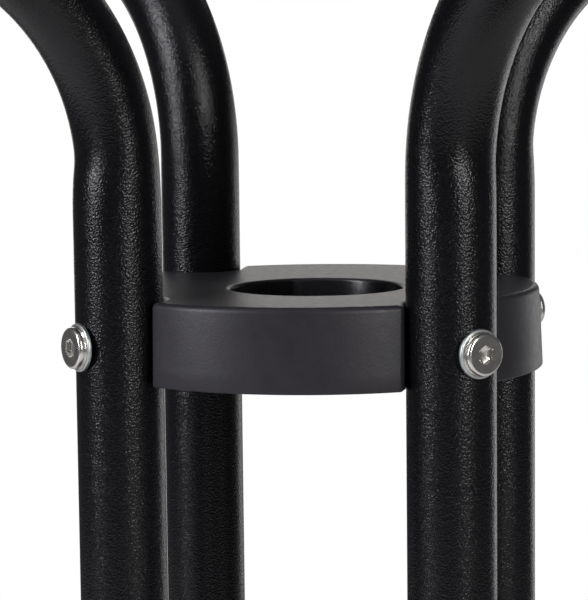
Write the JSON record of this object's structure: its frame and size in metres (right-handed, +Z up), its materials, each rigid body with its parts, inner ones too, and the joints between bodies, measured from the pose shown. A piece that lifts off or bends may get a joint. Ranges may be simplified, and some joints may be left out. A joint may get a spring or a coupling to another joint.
{
  "type": "umbrella stand",
  "caption": "Umbrella stand of bent black tubes bolted round two ring hubs, with a band hoop at the top and a lift-off round drip tray.",
  "frame": {"origin": "on the floor, on the stand's vertical centre line", "axes": "+Z up, -Y towards the front, between the two front legs"},
  "size_m": [0.34, 0.34, 0.5625],
  "materials": {
    "powder_coat": "fine-textured black powder coat",
    "hub_plastic": "satin moulded nylon, dark grey",
    "zinc_plate": "bright zinc plate",
    "insert_brass": "machined",
    "cap_plastic": "fine-textured moulded nylon, black",
    "pad_rubber": "matt",
    "tray_plastic": "satin, fine spark grain"
  },
  "bodies": {
    "tray": {"drip_tray": "tray_plastic", "tray_bumpers": "pad_rubber"},
    "frame": {"tube_front_right": "powder_coat", "tube_front_left": "powder_coat", "tube_rear_left": "powder_coat", "tube_rear_right": "powder_coat", "top_hoop": "powder_coat", "upper_hub": "hub_plastic", "upper_hub_screws": "zinc_plate", "upper_hub_washers": "zinc_plate", "upper_hub_inserts": "insert_brass", "lower_hub": "hub_plastic", "lower_hub_screws": "zinc_plate", "lower_hub_washers": "zinc_plate", "lower_hub_inserts": "insert_brass", "hoop_plug_front_right": "cap_plastic", "hoop_plug_front_left": "cap_plastic", "hoop_plug_rear_left": "cap_plastic", "hoop_plug_rear_right": "cap_plastic", "hoop_screws": "zinc_plate", "hoop_washers": "zinc_plate", "hoop_plug_inserts": "insert_brass", "foot_cap_front_right": "cap_plastic", "foot_cap_front_left": "cap_plastic", "foot_cap_rear_left": "cap_plastic", "foot_cap_rear_right": "cap_plastic", "foot_pad_front_right": "pad_rubber", "foot_pad_front_left": "pad_rubber", "foot_pad_rear_left": "pad_rubber", "foot_pad_rear_right": "pad_rubber"}
  },
  "joints": [
    {"name": "frame_lift", "type": "slide", "parent": "tray", "child": "frame", "axis": [0, 0, 1], "range_m": [0, 0.12]}
  ]
}
